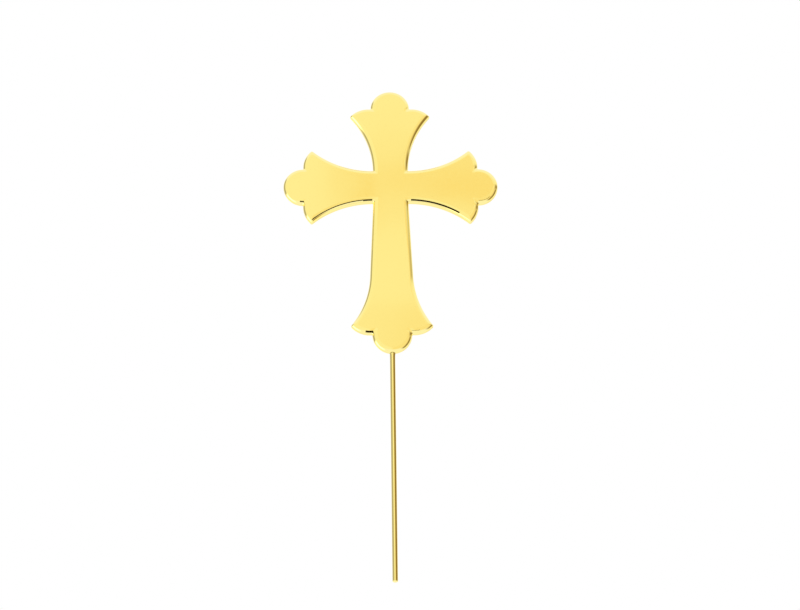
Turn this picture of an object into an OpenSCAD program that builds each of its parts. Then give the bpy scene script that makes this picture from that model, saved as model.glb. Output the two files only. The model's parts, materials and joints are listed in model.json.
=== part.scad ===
// Cross on a plain pin: two hollow halves, their locating pins, a rod socket and the rod.
// Sizes are in millimetres. The foot of the rod is the origin, +Z runs up the rod,
// and the polished front of the cross looks towards -Y.

/* [Cross] */
// Width across the two side arms
cross_w = 102; // [85:0.5:124]
// Length of the lower arm, from the middle of the crossing to its end
lower_arm = 85.5; // [70:0.5:104]
// Width of both bars where they cross
bar_w = 16.8; // [14:0.2:20.4]
// Spread of the lower arm on each side, in degrees
lower_taper = 2.6; // [0.5:0.1:4]
// Thickness of the head, front to back
head_t = 5; // [4:0.1:6.5]
// Straight band left between the front and back edge rounds
edge_band = 0.6; // [0.4:0.1:1.2]

/* [Arm ends] */
// Diameter of the round lobe at the end of each arm
lobe_d = 18.6; // [15:0.2:22.4]
// Width across the two points of an arm end
tip_w = 38.6; // [32:0.2:46.4]
// How far the points sit behind the end of the lobe
tip_set = 13.5; // [11:0.1:16.2]
// Radius of the shoulder between a point and the lobe
shoulder_r = 11.6; // [9.6:0.1:14]
// Place of the point on its shoulder, in degrees from straight sideways
tip_angle = 40; // [32:1:48]

/* [Shells] */
// Wall of the two hollow halves
wall = 0.6; // [0.4:0.05:0.8]
// Diameter of the locating pins
pin_d = 1.5; // [1.2:0.1:2]
// Metal round each pin in its boss
boss_wall = 0.9; // [0.6:0.1:1.4]
// How far the three upper bosses sit behind the end of their arm
boss_set = 15; // [12:0.5:20]
// Distance of the lower boss from the middle of the crossing
boss_drop = 34; // [20:0.5:45]
// Play between a pin and its bore, on the diameter
pin_play = 0.06; // [0.02:0.02:0.2]
// Metal left between the end of a pin's bore and the face
bore_floor = 0.9; // [0.7:0.1:1.4]
// Play at the ends of a pin, both ends together
pin_end_play = 0.2; // [0.1:0.1:0.6]

/* [Rod] */
// Diameter of the rod
rod_d = 2.5; // [2:0.1:3]
// Length of rod that shows below the head
rod_show = 110; // [90:1:132]
// Diameter of the spigot turned on the upper end of the rod
spigot_d = 1.8; // [1.4:0.1:2]
// Chamfer round both cut ends of the rod
rod_chamfer = 0.3; // [0.1:0.1:0.5]
// Play between the spigot and its socket, on the diameter
spigot_play = 0.06; // [0.02:0.02:0.2]
// Play between the end of the spigot and the end of its bore
spigot_end_play = 0.3; // [0.1:0.1:1]
// Play that the hole between the shells has over the rod, on the diameter
neck_play = 0.1; // [0.06:0.02:0.4]

/* [Socket] */
// Width of the socket block
socket_w = 6; // [4.5:0.5:8]
// Length of the socket block
socket_len = 24; // [16:1:28]
// Distance from the end of the lobe to the block, against which the rod's neck stops
socket_set = 4; // [3.5:0.5:8]
// Solid end left above the bore
socket_end = 3; // [1.5:0.5:5]

/* [Hidden] */
$fn = 96;
arm = cross_w / 2;
bar = bar_w / 2;
half_t = head_t / 2;
edge_r = (head_t - edge_band) / 2;
lobe_r = lobe_d / 2;
tip = tip_w / 2;
// Shoulder centre, measured sideways and back from the end of the arm
shoulder_side = tip - shoulder_r * cos(tip_angle);
shoulder_back = tip_set + shoulder_r * sin(tip_angle);
// Flank of the upper arms: an arc that leaves the crossing straight and ends on the point
flank_run = arm - tip_set - bar;
flank_out = tip - bar;
flank_r = (flank_run * flank_run + flank_out * flank_out) / (2 * flank_out);
// The lower arm keeps that arc at the end of a straight, slightly spreading stretch
low_run = lower_arm - tip_set - bar;
low_along = low_run * cos(lower_taper) + flank_out * sin(lower_taper);
low_out = flank_out * cos(lower_taper) - low_run * sin(lower_taper);
low_straight = low_along - sqrt(2 * flank_r * low_out - low_out * low_out);
// Cutters run past what they cut by this much, and round the arc by this many degrees
over = 1;
over_turn = 12;
low_sweep = asin((low_along - low_straight) / flank_r) + over_turn;
// Level up to which plain stock fills the gap between two shoulders
stock_rise = shoulder_r / 2;
// Inside of the head
room = half_t - wall;
boss_r = pin_d / 2 + boss_wall;
pin_bore = half_t - bore_floor;
pin_len = 2 * pin_bore - pin_end_play;
socket_t = 2 * room;
rod_r = rod_d / 2;
spigot_r = spigot_d / 2;
// The rod is turned down in two steps: a neck as far as the socket block, and a spigot into the block
neck_r = (rod_r + spigot_r) / 2;
rod_stop = rod_show + socket_set;
spigot_top = rod_stop + socket_len - socket_end - spigot_end_play;
cross_z = rod_show + lower_arm;
gold = [0.93, 0.76, 0.32];
brass = [0.78, 0.62, 0.30];

// Half-section of a disc of radius r with a rounded upper edge
module disc_section(r, inset, foot) {
    e = edge_r - inset;
    h = half_t - inset;
    translate([0, -foot]) square([r - e, h + foot]);
    translate([0, -foot]) square([r, h - e + foot]);
    translate([r - e, h - e]) intersection() {
        circle(e);
        square(e);
    }
}

// Section of the hollow beside a flank: the metal starts at r and rounds off above
module flank_section(r, inset, foot) {
    e = edge_r - inset;
    h = half_t - inset;
    difference() {
        translate([r - tip, -foot - over]) square([tip + e, h + foot + 2 * over]);
        translate([r, -foot - 2 * over]) square([e + over, h - e + foot + 2 * over]);
        translate([r + e, h - e]) circle(e);
    }
}

module soft_disc(r, inset, foot) {
    rotate_extrude() disc_section(r - inset, inset, foot);
}

// Plain stretch of an arm and the two shoulders, before the flanks are cut
module arm_blank(reach, inset, foot) {
    h = half_t - inset;
    back = reach - shoulder_back;
    translate([-tip, -over, -foot]) cube([tip_w, back + over, h + foot]);
    translate([-shoulder_side, 0, -foot]) cube([2 * shoulder_side, back + stock_rise, h + foot]);
    for (s = [-1, 1])
        translate([s * shoulder_side, back, 0]) soft_disc(shoulder_r, inset, foot);
}

module arm_lobe(reach, inset, foot) {
    translate([0, reach - lobe_r, 0]) soft_disc(lobe_r, inset, foot);
}

module upper_arm(inset, foot) {
    difference() {
        arm_blank(arm, inset, foot);
        for (s = [0, 1]) mirror([s, 0, 0])
            translate([bar + flank_r, bar, 0]) rotate_extrude() flank_section(flank_r + inset, inset, foot);
    }
    arm_lobe(arm, inset, foot);
}

module low_flank(inset, foot) {
    translate([bar, bar, 0]) rotate([0, 0, -lower_taper]) translate([flank_r, low_straight, 0]) {
        rotate([90, 0, 0]) linear_extrude(low_straight + bar_w) mirror([1, 0, 0])
            flank_section(flank_r + inset, inset, foot);
        rotate_extrude(angle = low_sweep, start = 180 - low_sweep)
            flank_section(flank_r + inset, inset, foot);
    }
}

module lower_arm_form(inset, foot) {
    difference() {
        arm_blank(lower_arm, inset, foot);
        low_flank(inset, foot);
        mirror([1, 0, 0]) low_flank(inset, foot);
    }
    arm_lobe(lower_arm, inset, foot);
}

// Upper half of the head, lying flat with its face up and the crossing at the origin
module half_head(inset, foot) {
    for (turn = [-90, 0, 90]) rotate([0, 0, turn]) upper_arm(inset, foot);
    rotate([0, 0, 180]) lower_arm_form(inset, foot);
}

module at_bosses() {
    for (turn = [-90, 0, 90]) rotate([0, 0, turn]) translate([0, arm - boss_set, 0]) children();
    translate([0, -boss_drop, 0]) children();
}

module half_shell() {
    difference() {
        union() {
            difference() {
                half_head(0, 0);
                half_head(wall, over);
            }
            at_bosses() cylinder(r = boss_r, h = room + wall / 2);
        }
        at_bosses() translate([0, 0, -over]) cylinder(d = pin_d + pin_play, h = pin_bore + over);
        translate([0, -lower_arm + socket_set, 0]) rotate([90, 0, 0])
            cylinder(d = rod_d + neck_play, h = socket_set + over);
    }
}

module stand_up() {
    translate([0, 0, cross_z]) rotate([90, 0, 0]) children();
}

module front_shell() {
    color(gold) stand_up() half_shell();
}

module back_shell() {
    color(gold) stand_up() mirror([0, 0, 1]) half_shell();
}

module locating_pins() {
    color(brass) stand_up() at_bosses() translate([0, 0, -pin_len / 2]) cylinder(d = pin_d, h = pin_len);
}

module rod_socket() {
    color(brass) translate([0, 0, rod_stop]) difference() {
        translate([-socket_w / 2, -socket_t / 2, 0]) cube([socket_w, socket_t, socket_len]);
        translate([0, 0, -over]) cylinder(d = spigot_d + spigot_play, h = socket_len - socket_end + over);
    }
}

module staff_rod() {
    color(gold) rotate_extrude() polygon([
        [0, 0],
        [rod_r - rod_chamfer, 0],
        [rod_r, rod_chamfer],
        [rod_r, rod_show],
        [neck_r, rod_show],
        [neck_r, rod_stop],
        [spigot_r, rod_stop],
        [spigot_r, spigot_top - rod_chamfer],
        [spigot_r - rod_chamfer, spigot_top],
        [0, spigot_top]
    ]);
}

front_shell();
back_shell();
locating_pins();
rod_socket();
staff_rod();
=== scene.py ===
"""Looks of a polished gold cross on a plain rod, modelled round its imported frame."""

import json
import math

import bmesh
import bpy
from mathutils import Matrix, Vector

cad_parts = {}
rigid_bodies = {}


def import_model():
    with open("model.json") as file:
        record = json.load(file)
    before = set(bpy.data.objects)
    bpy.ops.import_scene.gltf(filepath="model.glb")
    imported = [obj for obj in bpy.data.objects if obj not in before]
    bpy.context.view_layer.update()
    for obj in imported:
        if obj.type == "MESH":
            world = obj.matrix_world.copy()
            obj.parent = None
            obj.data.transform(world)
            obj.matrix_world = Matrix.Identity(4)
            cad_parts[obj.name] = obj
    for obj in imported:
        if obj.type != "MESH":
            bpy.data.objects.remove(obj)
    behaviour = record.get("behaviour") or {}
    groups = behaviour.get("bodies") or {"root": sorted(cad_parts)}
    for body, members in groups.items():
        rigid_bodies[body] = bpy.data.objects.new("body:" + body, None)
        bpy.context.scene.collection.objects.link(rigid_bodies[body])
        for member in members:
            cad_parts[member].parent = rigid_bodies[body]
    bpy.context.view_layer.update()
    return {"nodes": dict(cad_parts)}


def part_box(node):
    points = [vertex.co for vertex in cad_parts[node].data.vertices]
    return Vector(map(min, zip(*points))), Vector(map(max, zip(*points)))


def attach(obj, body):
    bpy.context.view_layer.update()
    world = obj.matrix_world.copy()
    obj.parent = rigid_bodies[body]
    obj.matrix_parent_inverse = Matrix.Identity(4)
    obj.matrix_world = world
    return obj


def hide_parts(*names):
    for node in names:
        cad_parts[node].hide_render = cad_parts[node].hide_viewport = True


bl_info = {
    "name": "Gold cross on a rod",
    "version": (1, 0, 0),
    "blender": (4, 5, 0),
    "location": "View3D > Sidebar > Cross",
    "description": "Models the two halves of the cross and its rod, and sets the studio round them",
    "category": "Object",
}

# Blender's own start-up objects would count in the box of the frame.
for start_up in list(bpy.data.objects):
    bpy.data.objects.remove(start_up)
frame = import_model()
MM = 0.001
# Vertices nearer than this are one vertex.
WELD = 0.005 * MM
# Faces that meet at less than this angle are shaded as one.
SMOOTH = math.radians(30)
BAR_SIDES = 48
ROD_SIDES = 64
DISC_SIDES = 64


def snapped(length):
    """To a tenth of a millimetre, because the frame's round edges are cut a little short."""
    return round(length, 4)


HEAD_LOW, HEAD_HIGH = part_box("front_shell")
ROD_LOW, ROD_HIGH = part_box("staff_rod")
ARM = snapped(HEAD_HIGH.x)


class HeadSizes(bpy.types.PropertyGroup):
    """Sizes of the head. What the frame's box gives comes from there."""

    arm: bpy.props.FloatProperty(
        name="Arm reach", description="From the middle of the crossing to the end of an upper arm",
        default=ARM, unit="LENGTH")
    lower_arm: bpy.props.FloatProperty(
        name="Lower arm", description="From the middle of the crossing to the end of the lower arm",
        default=85.5 * MM, unit="LENGTH")
    crossing: bpy.props.FloatProperty(
        name="Crossing height", description="Height of the middle of the crossing over the rod's foot",
        default=snapped(HEAD_HIGH.z) - ARM, unit="LENGTH")
    half_t: bpy.props.FloatProperty(
        name="Half thickness", description="From the seam between the halves to the face",
        default=snapped(-HEAD_LOW.y), unit="LENGTH")
    bar_w: bpy.props.FloatProperty(
        name="Bar width", description="Width of both bars where they cross",
        default=16.8 * MM, unit="LENGTH")
    lower_taper: bpy.props.FloatProperty(
        name="Lower spread", description="Spread of the lower arm on each side",
        default=math.radians(2.6), subtype="ANGLE")
    lobe_d: bpy.props.FloatProperty(
        name="Lobe", description="Diameter of the round lobe that ends an arm",
        default=18.6 * MM, unit="LENGTH")
    tip_w: bpy.props.FloatProperty(
        name="Points", description="Width across the two points of an arm end",
        default=38.6 * MM, unit="LENGTH")
    tip_set: bpy.props.FloatProperty(
        name="Point setback", description="How far the points sit behind the end of the lobe",
        default=13.5 * MM, unit="LENGTH")
    shoulder_r: bpy.props.FloatProperty(
        name="Shoulder", description="Radius between a point and the lobe",
        default=11.6 * MM, unit="LENGTH")
    tip_angle: bpy.props.FloatProperty(
        name="Point angle", description="Place of the point on its shoulder, from straight sideways",
        default=math.radians(40), subtype="ANGLE")
    edge_band: bpy.props.FloatProperty(
        name="Edge band", description="Straight band between the two edge rounds",
        default=0.6 * MM, unit="LENGTH")
    wall: bpy.props.FloatProperty(
        name="Wall", description="Wall of the two hollow halves",
        default=0.6 * MM, unit="LENGTH")
    point_r: bpy.props.FloatProperty(
        name="Point softness", description="Radius at the points, which polishing leaves blunt",
        default=0.8 * MM, unit="LENGTH")
    notch_r: bpy.props.FloatProperty(
        name="Notch softness", description="Radius in the notches beside the lobes",
        default=0.7 * MM, unit="LENGTH")
    corner_r: bpy.props.FloatProperty(
        name="Corner softness", description="Radius in the inner corners of the crossing",
        default=0.3 * MM, unit="LENGTH")
    seam: bpy.props.FloatProperty(
        name="Seam", description="Broken edge where the two halves meet",
        default=0.05 * MM, unit="LENGTH")


class JointSizes(bpy.types.PropertyGroup):
    """Sizes inside the head: the bosses for the locating pins, and the mouth for the rod."""

    boss_d: bpy.props.FloatProperty(
        name="Boss", description="Diameter of a pin's boss", default=3.3 * MM, unit="LENGTH")
    bore_d: bpy.props.FloatProperty(
        name="Bore", description="Diameter of a pin's bore", default=1.56 * MM, unit="LENGTH")
    bore_floor: bpy.props.FloatProperty(
        name="Bore floor", description="Metal left between a bore and the face",
        default=0.9 * MM, unit="LENGTH")
    boss_set: bpy.props.FloatProperty(
        name="Boss setback", description="How far the upper bosses sit behind the end of their arm",
        default=15 * MM, unit="LENGTH")
    boss_drop: bpy.props.FloatProperty(
        name="Lower boss", description="Distance of the lower boss from the middle of the crossing",
        default=34 * MM, unit="LENGTH")
    mouth_d: bpy.props.FloatProperty(
        name="Mouth", description="Diameter of the hole that the rod goes into",
        default=2.6 * MM, unit="LENGTH")
    mouth_depth: bpy.props.FloatProperty(
        name="Mouth depth", description="How far that hole goes in, up to the socket",
        default=4 * MM, unit="LENGTH")


class RodSizes(bpy.types.PropertyGroup):
    """Sizes of the rod and of the spigot on its upper end."""

    rod_d: bpy.props.FloatProperty(
        name="Rod", description="Diameter of the rod",
        default=snapped(ROD_HIGH.x - ROD_LOW.x), unit="LENGTH")
    show: bpy.props.FloatProperty(
        name="Shown length", description="Length of rod below the head", default=110 * MM, unit="LENGTH")
    neck_d: bpy.props.FloatProperty(
        name="Neck", description="Diameter of the rod inside the head", default=2.15 * MM, unit="LENGTH")
    stop: bpy.props.FloatProperty(
        name="Neck top", description="Height at which the neck stops against the socket",
        default=114 * MM, unit="LENGTH")
    top: bpy.props.FloatProperty(
        name="Spigot top", description="Height of the spigot's end",
        default=snapped(ROD_HIGH.z), unit="LENGTH")
    spigot_d: bpy.props.FloatProperty(
        name="Spigot", description="Diameter of the spigot", default=1.8 * MM, unit="LENGTH")
    chamfer: bpy.props.FloatProperty(
        name="Chamfer", description="Chamfer of the cut ends", default=0.3 * MM, unit="LENGTH")


class FinishLooks(bpy.types.PropertyGroup):
    """Colours of the metals."""

    gold: bpy.props.FloatVectorProperty(
        name="Gold", description="Polished gold plate",
        default=(0.98, 0.80, 0.246), subtype="COLOR", min=0, max=1)
    deep_gold: bpy.props.FloatVectorProperty(
        name="Deep gold", description="Gold where the plate lies thicker",
        default=(0.975, 0.785, 0.23), subtype="COLOR", min=0, max=1)
    brass: bpy.props.FloatVectorProperty(
        name="Brass", description="Bare brass of the inner pieces",
        default=(0.78, 0.62, 0.30), subtype="COLOR", min=0, max=1)
    dull_brass: bpy.props.FloatVectorProperty(
        name="Dull brass", description="Brass between the tool marks",
        default=(0.62, 0.49, 0.24), subtype="COLOR", min=0, max=1)


class StageLooks(bpy.types.PropertyGroup):
    """Colours of the studio."""

    floor: bpy.props.FloatVectorProperty(
        name="Floor", description="Pale floor",
        default=(0.9, 0.9, 0.9), subtype="COLOR", min=0, max=1)
    daylight: bpy.props.FloatVectorProperty(
        name="Daylight", description="White of most of the studio",
        default=(1.03, 1.07, 1.16), subtype="COLOR", min=0, max=2)
    warm_room: bpy.props.FloatVectorProperty(
        name="Warm side", description="Warm white from straight ahead to the right",
        default=(1.0, 0.9, 0.7), subtype="COLOR", min=0, max=2)
    pale: bpy.props.FloatVectorProperty(
        name="Pale surround", description="Cool white above and below",
        default=(1.04, 1.12, 1.6), subtype="COLOR", min=0, max=2)
    window: bpy.props.FloatVectorProperty(
        name="Window", description="Bright soft light low on the left",
        default=(2.6, 2.6, 2.8), subtype="COLOR", min=0, max=3)
    grey_side: bpy.props.FloatVectorProperty(
        name="Grey side", description="Grey strip at the far left, and left side of the rod's shade",
        default=(0.5, 0.51, 0.62), subtype="COLOR", min=0, max=1)
    # Also the colour of the brown sheet that paints a dim reflection on the top arm's right flank.
    dim_side: bpy.props.FloatVectorProperty(
        name="Dim side", description="Dim brown strip at the far right, right side of the rod's shade",
        default=(0.3, 0.21, 0.09), subtype="COLOR", min=0, max=1)
    # Colour of the sheets that paint dark reflection lines on the undersides.
    dark_sheet: bpy.props.FloatVectorProperty(
        name="Dark tape", description="Dark tapes just off the undersides",
        default=(0.02, 0.014, 0.006), subtype="COLOR", min=0, max=1)


class Wire:
    """An output of a node tree. Arithmetic on it adds Math nodes."""

    def __init__(self, tree, socket=None):
        self.tree = tree
        self.socket = socket

    def add(self, kind, settings=None, sockets=None, out=0):
        """Adds a node: its settings first, then the values or links of its sockets."""
        node = self.tree.nodes.new(kind)
        for name, value in (settings or {}).items():
            setattr(node, name, value)
        for name, value in (sockets or {}).items():
            if isinstance(value, Wire):
                self.tree.links.new(value.socket, node.inputs[name])
            else:
                node.inputs[name].default_value = value
        return Wire(self.tree, node.outputs[out] if len(node.outputs) else None)

    def math(self, operation, one, two=0.0):
        return self.add("ShaderNodeMath", {"operation": operation}, {0: one, 1: two})

    def __add__(self, other):
        return self.math("ADD", self, other)

    def __sub__(self, other):
        return self.math("SUBTRACT", self, other)

    def __rsub__(self, other):
        return self.math("SUBTRACT", other, self)

    def __mul__(self, other):
        return self.math("MULTIPLY", self, other)

    __radd__ = __add__
    __rmul__ = __mul__

    def greater(self, other):
        return self.math("MAXIMUM", self, other)

    def rise(self, low, high):
        """From 0 at low to 1 at high, eased at both ends."""
        settings = {"interpolation_type": "SMOOTHSTEP"}
        return self.add("ShaderNodeMapRange", settings, {"Value": self, "From Min": low, "From Max": high})

    def between(self, start, full, still, end):
        """Rises from start to full, and falls again from still to end."""
        return self.rise(start, full) - self.rise(still, end)

    def spread(self, low, high):
        """A number between low and high, by this value."""
        return low + self * (high - low)

    def blend(self, low, high):
        """A colour between low and high, by this value."""
        settings = {"data_type": "RGBA"}
        return self.add("ShaderNodeMix", settings, {0: self, 6: low, 7: high}, out=2)

    def noise(self, per_metre, detail=2.0):
        """Cloudy noise on these coordinates, with so many clouds to a metre."""
        sockets = {"Vector": self, "Scale": per_metre, "Detail": detail}
        return self.add("ShaderNodeTexNoise", {}, sockets, out="Fac")

    def along(self, axes):
        """The parts of this vector along the named axes."""
        return [self.add("ShaderNodeSeparateXYZ", {}, {"Vector": self}, out=axis) for axis in axes]


def opaque(colour):
    return (*colour, 1.0)


def new_material(name):
    """A material with an empty tree, and a wire to start its nodes from."""
    material = bpy.data.materials.new(name)
    material.use_nodes = True
    material.node_tree.nodes.clear()
    return material, Wire(material.node_tree)


def degrees_right(place):
    """Degrees to the right of straight ahead of the face."""
    across, depth = place.along("XY")
    return across.math("ARCTAN2", across, depth * -1) * math.degrees(1)


def polished_gold(looks):
    """Mirror-polished gold plate over a face that isn't quite flat."""
    material, tree = new_material("polished_gold")
    place = tree.add("ShaderNodeTexCoord", out="Object")
    waves = place.noise(per_metre=35, detail=0.0)
    clouds = place.noise(per_metre=30, detail=1.0)
    haze = place.noise(per_metre=900, detail=3.0)
    surface = tree.add("ShaderNodeBsdfPrincipled", {}, {
        "Base Color": clouds.blend(opaque(looks.gold), opaque(looks.deep_gold)),
        "Metallic": 1.0,
        "Roughness": haze.spread(0.03, 0.08),
        "Normal": tree.add("ShaderNodeBump", {}, {"Distance": 0.1 * MM, "Height": waves}),
    })
    tree.add("ShaderNodeOutputMaterial", {}, {"Surface": surface})
    return material


def drawn_gold(looks):
    """Gold-plated wire, with fine marks along its length from drawing."""
    material, tree = new_material("drawn_gold")
    place = tree.add("ShaderNodeTexCoord", out="Object")
    lengthways = tree.add("ShaderNodeMapping", {}, {"Vector": place, "Scale": (1.0, 1.0, 0.02)})
    lines = lengthways.noise(per_metre=4000)
    clouds = place.noise(per_metre=60)
    bump = tree.add("ShaderNodeBump", {}, {"Strength": 0.15, "Distance": 0.01 * MM, "Height": lines})
    surface = tree.add("ShaderNodeBsdfPrincipled", {}, {
        "Base Color": clouds.blend(opaque(looks.gold), opaque(looks.deep_gold)),
        "Metallic": 1.0,
        "Roughness": lines.spread(0.04, 0.12),
        "Normal": bump,
    })
    tree.add("ShaderNodeOutputMaterial", {}, {"Surface": surface})
    return material


def machined_brass(looks):
    """Plain brass off the machine."""
    material, tree = new_material("machined_brass")
    place = tree.add("ShaderNodeTexCoord", out="Object")
    grain = place.noise(per_metre=1500, detail=4.0)
    surface = tree.add("ShaderNodeBsdfPrincipled", {}, {
        "Base Color": grain.blend(opaque(looks.brass), opaque(looks.dull_brass)),
        "Metallic": 1.0,
        "Roughness": grain.spread(0.28, 0.48),
    })
    tree.add("ShaderNodeOutputMaterial", {}, {"Surface": surface})
    return material


def new_piece(name):
    """A new empty mesh, open for editing, with everything else deselected."""
    bpy.ops.object.select_all(action="DESELECT")
    bpy.ops.mesh.primitive_plane_add(size=MM)
    piece = bpy.context.object
    piece.name = name
    piece.data.name = name
    bpy.ops.object.mode_set(mode="EDIT")
    bpy.ops.mesh.delete(type="VERT")
    return piece


def pen_down(point):
    """Starts a line in the open mesh: one new vertex, the only one selected."""
    bpy.ops.mesh.select_all(action="DESELECT")
    bpy.ops.mesh.primitive_plane_add(size=MM, location=point)
    bpy.ops.mesh.merge(type="CENTER")


def pen_line(move, steps=1):
    """Draws a straight line from the selected vertex."""
    for _ in range(steps):
        bpy.ops.mesh.extrude_region_move(TRANSFORM_OT_translate={"value": move / steps})


def pen_arc(centre, angle, steps, axis=(0, 1, 0)):
    """Draws an arc from the selected vertex, round an axis through centre."""
    bpy.ops.mesh.spin(steps=steps, angle=angle, center=centre, axis=axis, use_auto_merge=False)


class Arc:
    """A round stretch of the outline. It bulges outwards, or is hollow where bulge is -1."""

    def __init__(self, centre, radius, steps, bulge=1):
        self.centre = centre
        self.radius = radius
        self.steps = steps
        self.bulge = bulge

    def moved(self, move):
        return Arc(move(self.centre), self.radius, self.steps, self.bulge)

    def radius_at(self, inset):
        return self.radius - self.bulge * inset

    def foot(self, place, inset):
        """The point of this stretch that is nearest to place."""
        return self.centre + (place - self.centre).normalized() * self.radius_at(inset)


class Straight:
    """A straight stretch of the outline."""

    centre = None

    def __init__(self, start, along, outward, steps):
        self.start = start
        self.along = along
        self.outward = outward
        self.steps = steps

    def moved(self, move):
        return Straight(move(self.start), move(self.along), move(self.outward), self.steps)

    def foot(self, place, inset):
        """The point of this stretch that is nearest to place."""
        start = self.start - self.outward * inset
        return start + self.along * (place - start).dot(self.along)


def meet(arc, other, inset, near):
    """Where an arc crosses the next stretch, at an inset: of the two places, the one nearer to near."""
    radius = arc.radius_at(inset)
    if other.centre is None:
        foot = other.foot(arc.centre, inset)
        way = other.along
        rise = way * math.sqrt(radius ** 2 - (foot - arc.centre).length_squared)
    else:
        between = other.centre - arc.centre
        along = (between.length_squared + radius ** 2 - other.radius_at(inset) ** 2) / (2 * between.length)
        way = between.normalized()
        foot = arc.centre + way * along
        rise = way.orthogonal() * math.sqrt(radius ** 2 - along ** 2)
    return min(foot + rise, foot - rise, key=lambda place: (place - near).length)


def aside(place):
    """From the top arm to the right arm."""
    return place.yx


def down(place):
    """From above the crossing to below it."""
    return Vector((place.x, -place.y))


def aside_down(place):
    return down(aside(place))


class HeadOutline:
    """The right half of the cross's outline, drawn at any inset from the true edge."""

    LOBE_STEPS = 28
    SHOULDER_STEPS = 22
    FLANK_STEPS = 40
    STRAIGHT_STEPS = 10
    CORNER_STEPS = 6

    def __init__(self, sizes):
        self.sizes = sizes
        bar = sizes.bar_w / 2
        corner = Vector((bar, bar))
        lobe, shoulder, notch, point = self.arm_end(sizes.arm)
        low_lobe, low_shoulder, low_notch, low_point = self.arm_end(sizes.lower_arm)
        reach = point - corner
        flank_r = reach.length_squared / (2 * reach.x)
        flank = Arc(corner + Vector((flank_r, 0)), flank_r, self.FLANK_STEPS, -1)
        # The lower arm keeps that arc at the end of a straight, slightly spreading stretch.
        outward = Vector((math.cos(sizes.lower_taper), -math.sin(sizes.lower_taper)))
        along = Vector((math.sin(sizes.lower_taper), math.cos(sizes.lower_taper)))
        low_reach = low_point - corner
        low_out = low_reach.dot(outward)
        length = low_reach.dot(along) - math.sqrt(2 * flank_r * low_out - low_out ** 2)
        straight = Straight(corner, along, outward, self.STRAIGHT_STEPS)
        low_flank = Arc(corner + outward * flank_r + along * length, flank_r, self.FLANK_STEPS, -1)
        # The stage has dark sheets beside these four, which paint dark reflections on them.
        self.top_flank = flank
        self.under_arm = flank.moved(aside_down)
        self.side_lobe = lobe.moved(aside)
        self.low_shoulder = low_shoulder.moved(down)
        # Each stretch with the round that follows it: outwards over 0, hollow under 0, and near what.
        blunt = sizes.point_r
        hollow = -sizes.notch_r
        inner = -sizes.corner_r
        self.stretches = [
            (lobe, hollow, notch),
            (shoulder, blunt, point),
            (flank, inner, corner),
            (flank.moved(aside), blunt, aside(point)),
            (shoulder.moved(aside), hollow, aside(notch)),
            (self.side_lobe, 0, Vector((sizes.arm, 0))),
            (self.side_lobe, hollow, aside_down(notch)),
            (shoulder.moved(aside_down), blunt, aside_down(point)),
            (self.under_arm, inner, down(corner)),
            (straight.moved(down), 0, down(low_flank.centre)),
            (low_flank.moved(down), blunt, down(low_point)),
            (self.low_shoulder, hollow, down(low_notch)),
            (low_lobe.moved(down), 0, Vector((0, -sizes.lower_arm))),
        ]

    def arm_end(self, reach):
        """Lobe, shoulder, notch and point of an arm that points up."""
        sizes = self.sizes
        point = Vector((sizes.tip_w / 2, reach - sizes.tip_set))
        turn = Vector((math.cos(sizes.tip_angle), math.sin(sizes.tip_angle)))
        shoulder = Arc(point - turn * sizes.shoulder_r, sizes.shoulder_r, self.SHOULDER_STEPS)
        lobe_r = sizes.lobe_d / 2
        lobe = Arc(Vector((0, reach - lobe_r)), lobe_r, self.LOBE_STEPS)
        return lobe, shoulder, lobe.centre + Vector((lobe_r, 0)), point

    def draw(self, inset, depth):
        """Draws the half outline in the open mesh. A depth under 0 is in front of the seam."""
        def stand(place):
            return Vector((place.x, depth, place.y + self.sizes.crossing))

        def draw_to(end, centre, steps):
            if centre is None:
                pen_line(stand(end) - stand(here), steps)
            else:
                pen_arc(stand(centre), (end - centre).angle_signed(here - centre), steps)
            return end

        here = self.stretches[0][0].foot(Vector((0, self.sizes.arm)), inset)
        pen_down(stand(here))
        for number, (stretch, soft, near) in enumerate(self.stretches):
            if not soft:
                here = draw_to(stretch.foot(near, inset), stretch.centre, stretch.steps)
                continue
            following = self.stretches[number + 1][0]
            middle = meet(stretch, following, inset + soft, near)
            here = draw_to(stretch.foot(middle, inset), stretch.centre, stretch.steps)
            here = draw_to(following.foot(middle, inset), middle, self.CORNER_STEPS)


def soft_edge(sizes, start, turn):
    """(inset, depth) on the soft edge, or on a round beside it whose inset at the seam is start.

    The turn is 0 at the seam and a right angle at the face.
    """
    level = sizes.edge_band / 2
    radius = sizes.half_t - level - start
    return start + radius * (1 - math.cos(turn)), -level - radius * math.sin(turn)


def head_rings(sizes):
    """(inset, depth) of each ring: from the face over the soft edge to the seam, then up the inside."""
    edge_steps = 12
    face_margin = 0.2 * MM
    turns = [math.radians(90 * step / edge_steps) for step in range(edge_steps + 1)]
    outside = [soft_edge(sizes, 0, turn) for turn in reversed(turns)]
    # The inside does with half the steps.
    inside = [soft_edge(sizes, sizes.wall, turn) for turn in turns[::2]]
    face = (outside[0][0] + face_margin, -sizes.half_t)
    seam = [(0, -sizes.seam), (sizes.seam, 0), (sizes.wall, 0)]
    return [face, *outside, *seam, *inside]


def mark_ring(mesh, number):
    """Gives the line that was just drawn its number."""
    bpy.ops.mesh.select_linked()
    open_mesh = bmesh.from_edit_mesh(mesh)
    ring = open_mesh.verts.layers.int.get("ring") or open_mesh.verts.layers.int.new("ring")
    for vertex in open_mesh.verts:
        if vertex.select:
            vertex[ring] = number


def select_rings(mesh, rings):
    """Selects the lines of these rings, and nothing else."""
    open_mesh = bmesh.from_edit_mesh(mesh)
    ring = open_mesh.verts.layers.int["ring"]
    bpy.ops.mesh.select_all(action="DESELECT")
    for edge in open_mesh.edges:
        one, two = (vertex[ring] for vertex in edge.verts)
        edge.select_set(one == two and one in rings)
    bmesh.update_edit_mesh(mesh)


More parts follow.
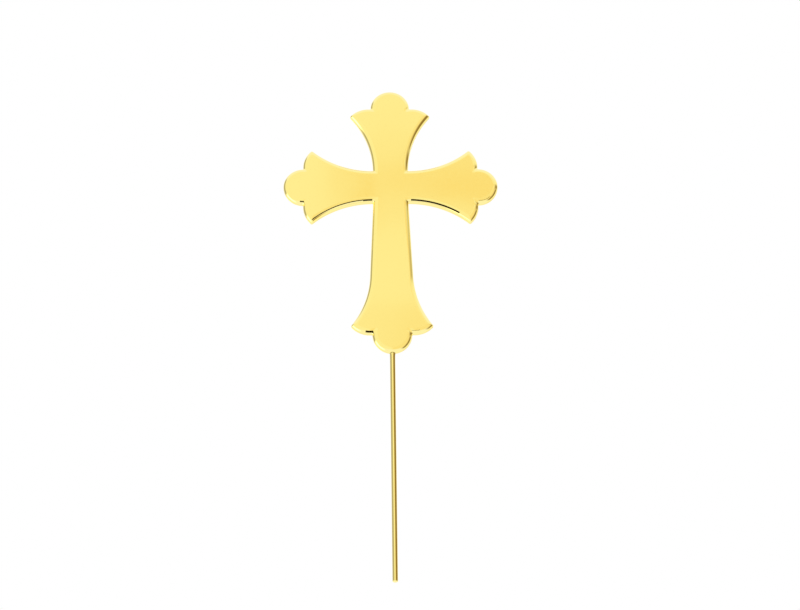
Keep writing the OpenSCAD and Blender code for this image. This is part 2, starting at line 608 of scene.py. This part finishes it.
def close_ring(mesh, depth):
    """Fills the open ring at this depth with one face."""
    open_mesh = bmesh.from_edit_mesh(mesh)
    bpy.ops.mesh.select_all(action="DESELECT")
    for edge in open_mesh.edges:
        level = all(abs(vertex.co.y - depth) < WELD for vertex in edge.verts)
        edge.select_set(level and edge.is_boundary)
    bmesh.update_edit_mesh(mesh)
    bpy.ops.mesh.edge_face_add()


def apply_modifier(piece, kind, **settings):
    bpy.ops.object.mode_set(mode="OBJECT")
    bpy.ops.object.select_all(action="DESELECT")
    bpy.context.view_layer.objects.active = piece
    piece.select_set(True)
    bpy.ops.object.modifier_add(type=kind)
    modifier = piece.modifiers[-1]
    for name, value in settings.items():
        setattr(modifier, name, value)
    bpy.ops.object.modifier_apply(modifier=modifier.name)


def model_shell(name, sizes):
    """The front half of the head: rings drawn along the outline, bridged, mirrored and closed."""
    piece = new_piece(name)
    outline = HeadOutline(sizes)
    rings = head_rings(sizes)
    for number, (inset, depth) in enumerate(rings):
        outline.draw(inset, depth)
        mark_ring(piece.data, number)
    for number in range(1, len(rings)):
        select_rings(piece.data, (number - 1, number))
        bpy.ops.mesh.bridge_edge_loops()
    apply_modifier(piece, "MIRROR", merge_threshold=WELD)
    bpy.ops.object.mode_set(mode="EDIT")
    for _, depth in (rings[0], rings[-1]):
        close_ring(piece.data, depth)
    bpy.ops.mesh.select_all(action="SELECT")
    bpy.ops.mesh.normals_make_consistent(inside=False)
    bpy.ops.object.mode_set(mode="OBJECT")
    return piece


def add_round_bar(radius, start, end):
    """Adds a cylinder to the open mesh."""
    way = end - start
    bpy.ops.mesh.primitive_cylinder_add(
        vertices=BAR_SIDES, radius=radius, depth=way.length, location=(start + end) / 2,
        rotation=way.to_track_quat("Z", "Y").to_euler())


def fit_for_joints(shell, sizes, joints):
    """Adds the bosses to the inside of a half, and bores them and the mouth for the rod."""
    # Cutters start this much outside what they cut.
    spare = MM
    reach = sizes.arm - joints.boss_set
    places = [
        Vector((side, 0, sizes.crossing + rise))
        for side, rise in ((0, reach), (reach, 0), (-reach, 0), (0, -joints.boss_drop))]
    ahead = Vector((0, -1, 0))
    up = Vector((0, 0, 1))
    boss_end = ahead * (sizes.half_t - sizes.wall / 2)
    bore_end = ahead * (sizes.half_t - joints.bore_floor)
    lobe_end = Vector((0, 0, sizes.crossing - sizes.lower_arm))
    bosses = new_piece("bosses")
    for place in places:
        add_round_bar(joints.boss_d / 2, place, place + boss_end)
    apply_modifier(shell, "BOOLEAN", operation="UNION", object=bosses, solver="EXACT")
    bores = new_piece("bores")
    for place in places:
        add_round_bar(joints.bore_d / 2, place - ahead * spare, place + bore_end)
    add_round_bar(joints.mouth_d / 2, lobe_end - up * spare, lobe_end + up * joints.mouth_depth)
    apply_modifier(shell, "BOOLEAN", operation="DIFFERENCE", object=bores, solver="EXACT")
    for tool in (bosses, bores):
        bpy.data.objects.remove(tool)
    # The cuts leave a few vertices on top of each other.
    bpy.ops.object.mode_set(mode="EDIT")
    bpy.ops.mesh.select_all(action="SELECT")
    bpy.ops.mesh.remove_doubles(threshold=WELD)
    bpy.ops.object.mode_set(mode="OBJECT")


def dress(piece, material, node):
    """Finishes a piece: its material, the body it rides on and the node it stands for."""
    piece.data.materials.clear()
    piece.data.materials.append(material)
    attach(piece, "root")
    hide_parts(node)


class CROSS_OT_head(bpy.types.Operator):
    """Models the two halves of the head, front and back"""

    bl_idname = "cross.head"
    bl_label = "Head halves"

    def execute(self, context):
        scene = context.scene
        front = model_shell("head_front", scene.cross_head)
        fit_for_joints(front, scene.cross_head, scene.cross_joints)
        bpy.ops.object.shade_smooth_by_angle(angle=SMOOTH)
        bpy.ops.object.duplicate()
        back = context.object
        back.name = "head_back"
        back.data.name = "head_back"
        bpy.ops.object.mode_set(mode="EDIT")
        bpy.ops.mesh.select_all(action="SELECT")
        bpy.ops.transform.resize(value=(1, -1, 1), center_override=(0, 0, 0))
        bpy.ops.mesh.normals_make_consistent(inside=False)
        bpy.ops.object.mode_set(mode="OBJECT")
        gold = polished_gold(scene.cross_finish)
        dress(front, gold, "front_shell")
        dress(back, gold, "back_shell")
        return {"FINISHED"}


class CROSS_OT_rod(bpy.types.Operator):
    """Models the rod, with its cut foot and the spigot that goes into the socket"""

    bl_idname = "cross.rod"
    bl_label = "Rod"

    def execute(self, context):
        sizes = context.scene.cross_rod
        rod_r = sizes.rod_d / 2
        neck_r = sizes.neck_d / 2
        spigot_r = sizes.spigot_d / 2
        profile = [
            (rod_r - sizes.chamfer, 0),
            (rod_r, sizes.chamfer),
            (rod_r, sizes.show),
            (neck_r, sizes.show),
            (neck_r, sizes.stop),
            (spigot_r, sizes.stop),
            (spigot_r, sizes.top - sizes.chamfer),
            (spigot_r - sizes.chamfer, sizes.top),
            (0, sizes.top),
        ]
        rod = new_piece("rod")
        foot = Vector((0, 0, 0))
        up = Vector((0, 0, 1))
        here = foot
        pen_down(foot)
        for radius, height in profile:
            there = Vector((radius, 0, height))
            pen_line(there - here)
            here = there
        bpy.ops.mesh.select_all(action="SELECT")
        pen_arc(foot, 2 * math.pi, ROD_SIDES, up)
        bpy.ops.mesh.select_all(action="SELECT")
        bpy.ops.mesh.remove_doubles(threshold=WELD)
        bpy.ops.mesh.normals_make_consistent(inside=False)
        bpy.ops.object.mode_set(mode="OBJECT")
        bpy.ops.object.shade_smooth_by_angle(angle=SMOOTH)
        dress(rod, drawn_gold(context.scene.cross_finish), "staff_rod")
        return {"FINISHED"}


class CROSS_OT_inner_brass(bpy.types.Operator):
    """Gives the locating pins and the rod socket inside the head their brass"""

    bl_idname = "cross.inner_brass"
    bl_label = "Inner brass"

    def execute(self, context):
        brass = machined_brass(context.scene.cross_finish)
        for name in ("locating_pins", "rod_socket"):
            node = frame["nodes"][name]
            node.data.materials.clear()
            node.data.materials.append(brass)
        return {"FINISHED"}


class CROSS_OT_stage(bpy.types.Operator):
    """Sets the camera, the white studio, the floor, and the dark sheets and the shade that paint dark
    reflections on the metal
    """

    bl_idname = "cross.stage"
    bl_label = "Stage"

    def execute(self, context):
        context.scene.view_settings.view_transform = "Standard"
        self.camera(context)
        self.world(context)
        self.floor(context)
        self.reflection_sheets(context)
        self.rod_shade(context)
        return {"FINISHED"}

    def camera(self, context):
        """Stands low in front of the cross, looks up and a little to the right, and leans slightly."""
        stand = Vector((-22, -1074, -333.6)) * MM
        look_up = math.radians(23.543)
        look_right = math.radians(1.372)
        lean_right = math.radians(0.762)
        focal_pixels = 2511.4
        picture_pixels = 800
        sensor_width = 36
        nearest = 0.01
        bpy.ops.object.camera_add()
        camera = context.object
        # Unturned, a camera looks straight down, so level is a right angle up from there.
        level = math.radians(90)
        heading = Matrix.Rotation(-look_right, 4, "Z")
        tilt = Matrix.Rotation(level + look_up, 4, "X")
        lean = Matrix.Rotation(-lean_right, 4, "Z")
        camera.matrix_world = Matrix.Translation(stand) @ heading @ tilt @ lean
        camera.data.lens = focal_pixels * sensor_width / picture_pixels
        camera.data.sensor_width = sensor_width
        camera.data.clip_start = nearest
        context.scene.camera = camera

    def world(self, context):
        """White all round. The metal sees it with a warm side, a window, and grey and dim strips."""
        looks = context.scene.cross_stage
        world = bpy.data.worlds.new("white_studio")
        context.scene.world = world
        world.use_nodes = True
        world.node_tree.nodes.clear()
        tree = Wire(world.node_tree)
        way = tree.add("ShaderNodeTexCoord", out="Generated")
        [up] = way.along("Z")
        turn = degrees_right(way)
        lift = tree.math("ARCSINE", up) * math.degrees(1)

        def zone(turns, lifts):
            """Degrees to the right and up at which a zone starts, is full, is still full and ends."""
            return turn.between(*turns) * lift.between(*lifts)

        # Warmth is full where the side arms mirror it, strong where the lower arm's end does, else weak.
        warmth_below = 0.7
        warmth_above = 0.13
        by_height = warmth_below - lift.rise(23.1, 23.8) * (warmth_below - warmth_above)
        warmth = lift.between(25.6, 25.9, 26.6, 27.6).greater(by_height)
        warm_patch = zone(turns=(-0.2, 0.25, 0.65, 1.1), lifts=(25.3, 25.6, 26.6, 27.0))
        warm = (turn.between(-1.4, 3.0, 50.0, 80.0) * warmth).greater(warm_patch)
        window = zone(turns=(-110, -95, -72, -58), lifts=(-62, -48, -10, 4))
        grey = zone(turns=(-135, -118, -82, -68), lifts=(-12, 0, 42, 54))
        low_dim = zone(turns=(38, 76, 86, 104), lifts=(-50, -36, 8, 20))
        dim = zone(turns=(22, 80, 100, 122), lifts=(8, 20, 22, 33)).greater(low_dim)
        middle = lift.between(-45, -25, 32, 48)
        studio = warm.blend(opaque(looks.daylight), opaque(looks.warm_room))
        studio = middle.blend(opaque(looks.pale), studio)
        studio = window.blend(studio, opaque(looks.window))
        studio = grey.blend(studio, opaque(looks.grey_side))
        studio = dim.blend(studio, opaque(looks.dim_side))
        light = tree.add("ShaderNodeBackground", {}, {"Color": studio, "Strength": 1.0})
        white = tree.add("ShaderNodeBackground", {}, {"Color": (1, 1, 1, 1), "Strength": 1.0})
        mirrored = tree.add("ShaderNodeLightPath", out="Is Glossy Ray")
        mixed = tree.add("ShaderNodeMixShader", {}, {0: mirrored, 1: white, 2: light})
        tree.add("ShaderNodeOutputWorld", {}, {"Surface": mixed})

    def floor(self, context):
        """Pale round the rod's foot, clear further out and seen from below."""
        fade_start = 0.4
        fade_end = 2.0
        radius = 3
        bpy.ops.object.select_all(action="DESELECT")
        bpy.ops.mesh.primitive_circle_add(vertices=DISC_SIDES, radius=radius, fill_type="NGON")
        floor = context.object
        floor.name = "floor"
        material, tree = new_material("pale_floor")
        place = tree.add("ShaderNodeTexCoord", out="Object")
        far = tree.add("ShaderNodeVectorMath", {"operation": "LENGTH"}, {0: place}, out="Value")
        colour = opaque(context.scene.cross_stage.floor)
        surface = tree.add("ShaderNodeBsdfPrincipled", {}, {"Base Color": colour, "Roughness": 0.8})
        from_below = tree.add("ShaderNodeNewGeometry", out="Backfacing")
        self.end_material(tree, surface, from_below.greater(far.rise(fade_start, fade_end)))
        floor.data.materials.append(material)
        floor.visible_glossy = False

    def reflection_sheets(self, context):
        """Narrow dark sheets just off the head's soft edge, seen by the metal alone: painted dark
        reflections on the undersides and on a flank.
        """
        sizes = context.scene.cross_head
        outline = HeadOutline(sizes)
        looks = context.scene.cross_stage
        dark = self.reflection_sheet_material("painted_dark_reflection", looks.dark_sheet)
        brown = self.reflection_sheet_material("painted_brown_reflection", looks.dim_side, fades=True)
        right, left = 1, -1
        # Side, stretch, degrees along the stretch, degrees round its soft edge from the seam, material.
        rows = (
            (right, outline.under_arm, (1.5, 32), (64, 40), dark),
            (right, outline.side_lobe, (0, 45), (66, 62), dark),
            (right, outline.low_shoulder, (-8, 14), (66, 62), dark),
            (right, outline.top_flank, (-75, -47), (75, 46), brown),
            (left, outline.under_arm, (0.5, 40), (64, 51), dark),
            (left, outline.under_arm, (0.5, 6), (64, 41), dark),
            (left, outline.side_lobe, (-3, 10), (65, 47), dark),
            (left, outline.low_shoulder, (-8, 11), (62, 33), dark),
        )
        for side, stretch, ends, turns, material in rows:
            dark_sheet = new_piece("painted_dark_reflection")
            for turn in turns:
                self.draw_reflection_sheet_edge(sizes, side, stretch, ends, math.radians(turn))
            bpy.ops.mesh.select_all(action="SELECT")
            bpy.ops.mesh.bridge_edge_loops()
            bpy.ops.object.mode_set(mode="OBJECT")
            # The side that shows looks up at the metal.
            if dark_sheet.data.polygons[0].normal.z < 0:
                bpy.ops.object.mode_set(mode="EDIT")
                bpy.ops.mesh.flip_normals()
                bpy.ops.object.mode_set(mode="OBJECT")
            self.only_for_metal(dark_sheet, material)

    def reflection_sheet_material(self, name, colour, fades=False):
        """Shows on the upper side of a sheet that paints a dark reflection. One that fades does so to the
        front and downwards.
        """
        material, tree = new_material(name)
        glow = tree.add("ShaderNodeEmission", {}, {"Color": opaque(colour)})
        clear = tree.add("ShaderNodeNewGeometry", out="Backfacing")
        if fades:
            depth, height = tree.add("ShaderNodeTexCoord", out="Object").along("YZ")
            back_part = depth.rise(-2.82 * MM, -2.35 * MM)
            top_part = height.rise(214 * MM, 230 * MM)
            clear = clear.greater(1 - back_part * top_part)
        self.end_material(tree, glow, clear)
        return material

    def draw_reflection_sheet_edge(self, sizes, side, stretch, ends, turn):
        """Draws one edge of a sheet that paints a dark reflection, just off the soft edge of a round
        stretch of the outline.
        """
        away = 0.4 * MM
        inset, depth = soft_edge(sizes, -away, turn)

        def stand(place):
            return Vector((place.x * side, depth, place.y + sizes.crossing))

        start, end = (
            Vector((math.sin(angle), -stretch.bulge * math.cos(angle))) * stretch.radius_at(inset)
            for angle in map(math.radians, ends))
        pen_down(stand(stretch.centre + start))
        pen_arc(stand(stretch.centre), side * end.angle_signed(start), stretch.steps)

    def rod_shade(self, context):
        """A wide shade just under the head's end, seen by the metal alone: it paints a dim reflection on
        the rod's right and a grey one on its left.
        """
        looks = context.scene.cross_stage
        radius = 0.4
        gap = 0.1 * MM
        height = context.scene.cross_rod.show - gap
        bpy.ops.object.select_all(action="DESELECT")
        bpy.ops.mesh.primitive_circle_add(
            vertices=DISC_SIDES, radius=radius, fill_type="NGON", location=(0, 0, height))
        shade = context.object
        shade.name = "rod_shade"
        material, tree = new_material("rod_shade")
        turn = degrees_right(tree.add("ShaderNodeTexCoord", out="Object"))
        # Degrees to the right at which each side starts, is full, is still full and ends.
        dim = turn.between(12, 32, 95, 125)
        grey = turn.between(-155, -120, -50, -28)
        colour = dim.blend(opaque(looks.grey_side), opaque(looks.dim_side))
        glow = tree.add("ShaderNodeEmission", {}, {"Color": colour})
        from_below = tree.add("ShaderNodeNewGeometry", out="Backfacing")
        self.end_material(tree, glow, 1 - from_below * dim.greater(grey))
        self.only_for_metal(shade, material)

    def only_for_metal(self, piece, material):
        """Finishes a piece of the stage that shows in reflections alone."""
        piece.data.materials.append(material)
        piece.visible_camera = False
        piece.visible_diffuse = False
        piece.visible_shadow = False
        piece.visible_transmission = False

    def end_material(self, tree, surface, clear):
        """Ends a material that lets everything through where clear is 1."""
        through = tree.add("ShaderNodeBsdfTransparent")
        mixed = tree.add("ShaderNodeMixShader", {}, {0: clear, 1: surface, 2: through})
        tree.add("ShaderNodeOutputMaterial", {}, {"Surface": mixed})


class CROSS_PT_sidebar(bpy.types.Panel):
    """Sidebar of the cross: its pieces, in the order in which they are made"""

    bl_label = "Gold cross"
    bl_space_type = "VIEW_3D"
    bl_region_type = "UI"
    bl_category = "Cross"

    def draw(self, context):
        for operator in OPERATORS:
            self.layout.operator(operator.bl_idname)


OPERATORS = (CROSS_OT_stage, CROSS_OT_head, CROSS_OT_rod, CROSS_OT_inner_brass)
GROUPS = {
    "cross_head": HeadSizes,
    "cross_joints": JointSizes,
    "cross_rod": RodSizes,
    "cross_finish": FinishLooks,
    "cross_stage": StageLooks,
}


def register():
    for group in GROUPS.values():
        bpy.utils.register_class(group)
    for name, group in GROUPS.items():
        setattr(bpy.types.Scene, name, bpy.props.PointerProperty(type=group))
    for operator in OPERATORS:
        bpy.utils.register_class(operator)
    bpy.utils.register_class(CROSS_PT_sidebar)


def unregister():
    bpy.utils.unregister_class(CROSS_PT_sidebar)
    for operator in reversed(OPERATORS):
        bpy.utils.unregister_class(operator)
    for name, group in GROUPS.items():
        delattr(bpy.types.Scene, name)
        bpy.utils.unregister_class(group)


def main():
    register()
    bpy.ops.cross.stage()
    bpy.ops.cross.head()
    bpy.ops.cross.rod()
    bpy.ops.cross.inner_brass()


if __name__ == "__main__":
    main()
